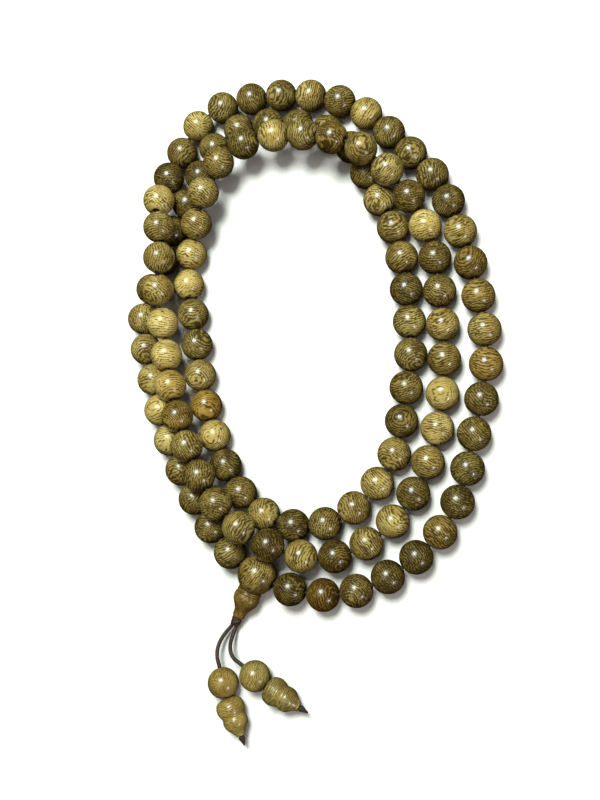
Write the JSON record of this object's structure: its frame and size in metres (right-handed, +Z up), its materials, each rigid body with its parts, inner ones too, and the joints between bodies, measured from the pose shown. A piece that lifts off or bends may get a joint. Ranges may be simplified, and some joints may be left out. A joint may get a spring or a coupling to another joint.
{
  "type": "mala prayer beads",
  "caption": "Long loop of polished round wooden beads laid in turns, with a larger guru bead, a small stupa bead and corded counter beads.",
  "frame": {"origin": "centre of the bottom of the box round the string, guru bead and binding, on the surface that the mala lies on; the two counter tails are left out of that box", "axes": "+Z up from the surface; +Y along the long way of the oval that the three turns make, away from the guru bead; +X to the right seen from above"},
  "size_m": [0.0966, 0.1661, 0.0162],
  "materials": {
    "bead_wood": "polished",
    "guru_wood": "polished",
    "golden_wood": "polished",
    "waxed_cord": "waxed braid, slight sheen"
  },
  "bodies": {
    "lower_turns": {"string_outer": "waxed_cord", "string_inner": "waxed_cord", "beads_001_to_017": "bead_wood", "beads_019_to_032": "bead_wood", "beads_064_to_074": "bead_wood", "beads_076_to_086": "bead_wood", "beads_088_to_098": "bead_wood", "beads_100_to_107": "bead_wood"},
    "top_turn": {"string_top": "waxed_cord", "beads_034_to_047": "bead_wood", "beads_049_to_062": "bead_wood"},
    "guru": {"guru_bead": "guru_wood", "guru_cord_legs": "waxed_cord", "binding_knot": "waxed_cord"},
    "stupa": {"stupa_bead": "golden_wood"},
    "counter_a": {"tail_cord_a": "waxed_cord", "cord_tip_a": "waxed_cord"},
    "counter_b": {"tail_cord_b": "waxed_cord", "cord_tip_b": "waxed_cord"},
    "counter_a_ball": {"counter_ball_a": "golden_wood"},
    "counter_a_end": {"end_bead_a": "golden_wood"},
    "counter_b_ball": {"counter_ball_b": "golden_wood"},
    "counter_b_end": {"end_bead_b": "golden_wood"},
    "bead_003": {"bead_003": "bead_wood"},
    "bead_006": {"bead_006": "bead_wood"},
    "bead_009": {"bead_009": "bead_wood"},
    "bead_012": {"bead_012": "bead_wood"},
    "bead_015": {"bead_015": "bead_wood"},
    "bead_018": {"bead_018": "bead_wood"},
    "bead_021": {"bead_021": "bead_wood"},
    "bead_024": {"bead_024": "bead_wood"},
    "bead_027": {"bead_027": "bead_wood"},
    "bead_030": {"bead_030": "bead_wood"},
    "bead_033": {"bead_033": "bead_wood"},
    "bead_036": {"bead_036": "bead_wood"},
    "bead_039": {"bead_039": "bead_wood"},
    "bead_042": {"bead_042": "bead_wood"},
    "bead_045": {"bead_045": "bead_wood"},
    "bead_048": {"bead_048": "bead_wood"},
    "bead_051": {"bead_051": "bead_wood"},
    "bead_054": {"bead_054": "bead_wood"},
    "bead_057": {"bead_057": "bead_wood"},
    "bead_060": {"bead_060": "bead_wood"},
    "bead_063": {"bead_063": "bead_wood"},
    "bead_066": {"bead_066": "bead_wood"},
    "bead_069": {"bead_069": "bead_wood"},
    "bead_072": {"bead_072": "bead_wood"},
    "bead_075": {"bead_075": "bead_wood"},
    "bead_078": {"bead_078": "bead_wood"},
    "bead_081": {"bead_081": "bead_wood"},
    "bead_084": {"bead_084": "bead_wood"},
    "bead_087": {"bead_087": "bead_wood"},
    "bead_090": {"bead_090": "bead_wood"},
    "bead_093": {"bead_093": "bead_wood"},
    "bead_096": {"bead_096": "bead_wood"},
    "bead_099": {"bead_099": "bead_wood"},
    "bead_102": {"bead_102": "bead_wood"},
    "bead_105": {"bead_105": "bead_wood"},
    "bead_108": {"bead_108": "bead_wood"}
  },
  "joints": [
    {"name": "lift_top_turn", "type": "hinge", "parent": "lower_turns", "child": "top_turn", "pos_m": [-0.03778, 0.01055, 0.00818], "axis": [-0.357, -0.9339, -0.0169], "range_deg": [0, 50]},
    {"name": "guru_swing", "type": "hinge", "parent": "lower_turns", "child": "guru", "pos_m": [-0.01104, -0.0565, 0.00475], "axis": [-0.8765, 0.4811, -0.0156], "range_deg": [0, 60]},
    {"name": "counter_a_swing", "type": "hinge", "parent": "guru", "child": "counter_a", "pos_m": [-0.01858, -0.06908, 0.00176], "axis": [0, 0, 1], "range_deg": [-50, 0]},
    {"name": "counter_b_swing", "type": "hinge", "parent": "guru", "child": "counter_b", "pos_m": [-0.01753, -0.06966, 0.00178], "axis": [0, 0, 1], "range_deg": [0, 30]},
    {"name": "spin_stupa", "type": "hinge", "parent": "guru", "child": "stupa", "pos_m": [-0.01479, -0.06339, 0.00316], "axis": [-0.4687, -0.8606, -0.1993], "continuous": true},
    {"name": "spin_counter_a_ball", "type": "hinge", "parent": "counter_a", "child": "counter_a_ball", "pos_m": [-0.01948, -0.08241, 0.00375], "axis": [0.2851, -0.9585, 0], "continuous": true},
    {"name": "spin_counter_a_end", "type": "hinge", "parent": "counter_a", "child": "counter_a_end", "pos_m": [-0.0184, -0.08602, 0.00375], "axis": [0.385, -0.9199, -0.075], "continuous": true},
    {"name": "spin_counter_b_ball", "type": "hinge", "parent": "counter_b", "child": "counter_b_ball", "pos_m": [-0.01142, -0.08043, 0.00375], "axis": [0.8, -0.6, 0], "continuous": true},
    {"name": "spin_counter_b_end", "type": "hinge", "parent": "counter_b", "child": "counter_b_end", "pos_m": [-0.0084, -0.08268, 0.00375], "axis": [0.8697, -0.4878, -0.075], "continuous": true},
    {"name": "spin_bead_003", "type": "hinge", "parent": "lower_turns", "child": "bead_003", "pos_m": [0.01351, -0.05978, 0.004], "axis": [0.9502, 0.3117, 0.0077], "continuous": true},
    {"name": "spin_bead_006", "type": "hinge", "parent": "lower_turns", "child": "bead_006", "pos_m": [0.03338, -0.04598, 0.004], "axis": [0.6005, 0.7996, -0.0084], "continuous": true},
    {"name": "spin_bead_009", "type": "hinge", "parent": "lower_turns", "child": "bead_009", "pos_m": [0.04138, -0.02328, 0.004], "axis": [0.2098, 0.9777, 0.0088], "continuous": true},
    {"name": "spin_bead_012", "type": "hinge", "parent": "lower_turns", "child": "bead_012", "pos_m": [0.04397, 0.00128, 0.004], "axis": [-0.1384, 0.9903, -0.0092], "continuous": true},
    {"name": "spin_bead_015", "type": "hinge", "parent": "lower_turns", "child": "bead_015", "pos_m": [0.03841, 0.02551, 0.00401], "axis": [-0.3306, 0.9437, 0.0133], "continuous": true},
    {"name": "spin_bead_018", "type": "hinge", "parent": "lower_turns", "child": "bead_018", "pos_m": [0.02632, 0.04631, 0.004], "axis": [-0.7169, 0.6968, -0.0218], "continuous": true},
    {"name": "spin_bead_021", "type": "hinge", "parent": "lower_turns", "child": "bead_021", "pos_m": [0.00809, 0.06182, 0.004], "axis": [-0.9206, 0.3898, 0.0225], "continuous": true},
    {"name": "spin_bead_024", "type": "hinge", "parent": "lower_turns", "child": "bead_024", "pos_m": [-0.01567, 0.06526, 0.004], "axis": [-0.9992, -0.0333, -0.0229], "continuous": true},
    {"name": "spin_bead_027", "type": "hinge", "parent": "lower_turns", "child": "bead_027", "pos_m": [-0.03471, 0.05249, 0.00418], "axis": [-0.3565, -0.9321, 0.0642], "continuous": true},
    {"name": "spin_bead_030", "type": "hinge", "parent": "lower_turns", "child": "bead_030", "pos_m": [-0.0369, 0.03016, 0.01203], "axis": [0.2348, -0.972, -0.0105], "continuous": true},
    {"name": "spin_bead_033", "type": "hinge", "parent": "top_turn", "child": "bead_033", "pos_m": [-0.03718, 0.00631, 0.00736], "axis": [0.1386, -0.9726, -0.1866], "continuous": true},
    {"name": "spin_bead_036", "type": "hinge", "parent": "top_turn", "child": "bead_036", "pos_m": [-0.03166, -0.01793, 0.00871], "axis": [0.3414, -0.9359, 0.087], "continuous": true},
    {"name": "spin_bead_039", "type": "hinge", "parent": "top_turn", "child": "bead_039", "pos_m": [-0.02004, -0.03973, 0.0104], "axis": [0.6184, -0.7858, 0.01], "continuous": true},
    {"name": "spin_bead_042", "type": "hinge", "parent": "top_turn", "child": "bead_042", "pos_m": [0.00039, -0.05195, 0.00617], "axis": [0.9276, -0.2012, -0.3147], "continuous": true},
    {"name": "spin_bead_045", "type": "hinge", "parent": "top_turn", "child": "bead_045", "pos_m": [0.02217, -0.04356, 0.004], "axis": [0.6825, 0.7309, -0.0039], "continuous": true},
    {"name": "spin_bead_048", "type": "hinge", "parent": "top_turn", "child": "bead_048", "pos_m": [0.03275, -0.02182, 0.004], "axis": [0.2064, 0.9785, 0.0031], "continuous": true},
    {"name": "spin_bead_051", "type": "hinge", "parent": "top_turn", "child": "bead_051", "pos_m": [0.03412, 0.00293, 0.004], "axis": [-0.0759, 0.9971, -0.0022], "continuous": true},
    {"name": "spin_bead_054", "type": "hinge", "parent": "top_turn", "child": "bead_054", "pos_m": [0.03005, 0.02733, 0.00474], "axis": [-0.3696, 0.92, 0.1305], "continuous": true},
    {"name": "spin_bead_057", "type": "hinge", "parent": "top_turn", "child": "bead_057", "pos_m": [0.01565, 0.04583, 0.01131], "axis": [-0.83, 0.5109, 0.2237], "continuous": true},
    {"name": "spin_bead_060", "type": "hinge", "parent": "top_turn", "child": "bead_060", "pos_m": [-0.00764, 0.05244, 0.00919], "axis": [-0.9969, -0.0142, -0.0776], "continuous": true},
    {"name": "spin_bead_063", "type": "hinge", "parent": "lower_turns", "child": "bead_063", "pos_m": [-0.02633, 0.0393, 0.009], "axis": [-0.2634, -0.9633, 0.0513], "continuous": true},
    {"name": "spin_bead_066", "type": "hinge", "parent": "lower_turns", "child": "bead_066", "pos_m": [-0.03178, 0.01684, 0.004], "axis": [0.1167, -0.9849, 0.1279], "continuous": true},
    {"name": "spin_bead_069", "type": "hinge", "parent": "lower_turns", "child": "bead_069", "pos_m": [-0.02776, -0.00695, 0.004], "axis": [0.2416, -0.9633, -0.1169], "continuous": true},
    {"name": "spin_bead_072", "type": "hinge", "parent": "lower_turns", "child": "bead_072", "pos_m": [-0.02027, -0.02982, 0.004], "axis": [0.3886, -0.9145, 0.1123], "continuous": true},
    {"name": "spin_bead_075", "type": "hinge", "parent": "lower_turns", "child": "bead_075", "pos_m": [-0.00237, -0.04462, 0.00401], "axis": [0.9801, -0.1679, -0.106], "continuous": true},
    {"name": "spin_bead_078", "type": "hinge", "parent": "lower_turns", "child": "bead_078", "pos_m": [0.0184, -0.03465, 0.00401], "axis": [0.6179, 0.7785, 0.1107], "continuous": true},
    {"name": "spin_bead_081", "type": "hinge", "parent": "lower_turns", "child": "bead_081", "pos_m": [0.02532, -0.01191, 0.004], "axis": [0.2276, 0.9676, -0.1093], "continuous": true},
    {"name": "spin_bead_084", "type": "hinge", "parent": "lower_turns", "child": "bead_084", "pos_m": [0.02528, 0.01209, 0.004], "axis": [-0.0635, 0.992, 0.1089], "continuous": true},
    {"name": "spin_bead_087", "type": "hinge", "parent": "lower_turns", "child": "bead_087", "pos_m": [0.01851, 0.03505, 0.004], "axis": [-0.5275, 0.8459, -0.0792], "continuous": true},
    {"name": "spin_bead_090", "type": "hinge", "parent": "lower_turns", "child": "bead_090", "pos_m": [0.00489, 0.05435, 0.004], "axis": [-0.9013, 0.426, 0.0785], "continuous": true},
    {"name": "spin_bead_093", "type": "hinge", "parent": "lower_turns", "child": "bead_093", "pos_m": [-0.01892, 0.05719, 0.00401], "axis": [-0.9466, -0.3208, -0.0313], "continuous": true},
    {"name": "spin_bead_096", "type": "hinge", "parent": "lower_turns", "child": "bead_096", "pos_m": [-0.03288, 0.03846, 0.004], "axis": [-0.5856, -0.81, 0.0329], "continuous": true},
    {"name": "spin_bead_099", "type": "hinge", "parent": "lower_turns", "child": "bead_099", "pos_m": [-0.04218, 0.01626, 0.004], "axis": [-0.4773, -0.8782, -0.0315], "continuous": true},
    {"name": "spin_bead_102", "type": "hinge", "parent": "lower_turns", "child": "bead_102", "pos_m": [-0.04089, -0.00759, 0.004], "axis": [0.2292, -0.9734, 0.0075], "continuous": true},
    {"name": "spin_bead_105", "type": "hinge", "parent": "lower_turns", "child": "bead_105", "pos_m": [-0.03219, -0.03085, 0.004], "axis": [0.4436, -0.8962, -0.0065], "continuous": true},
    {"name": "spin_bead_108", "type": "hinge", "parent": "lower_turns", "child": "bead_108", "pos_m": [-0.01831, -0.0513, 0.00433], "axis": [0.7206, -0.6883, 0.0829], "continuous": true}
  ]
}
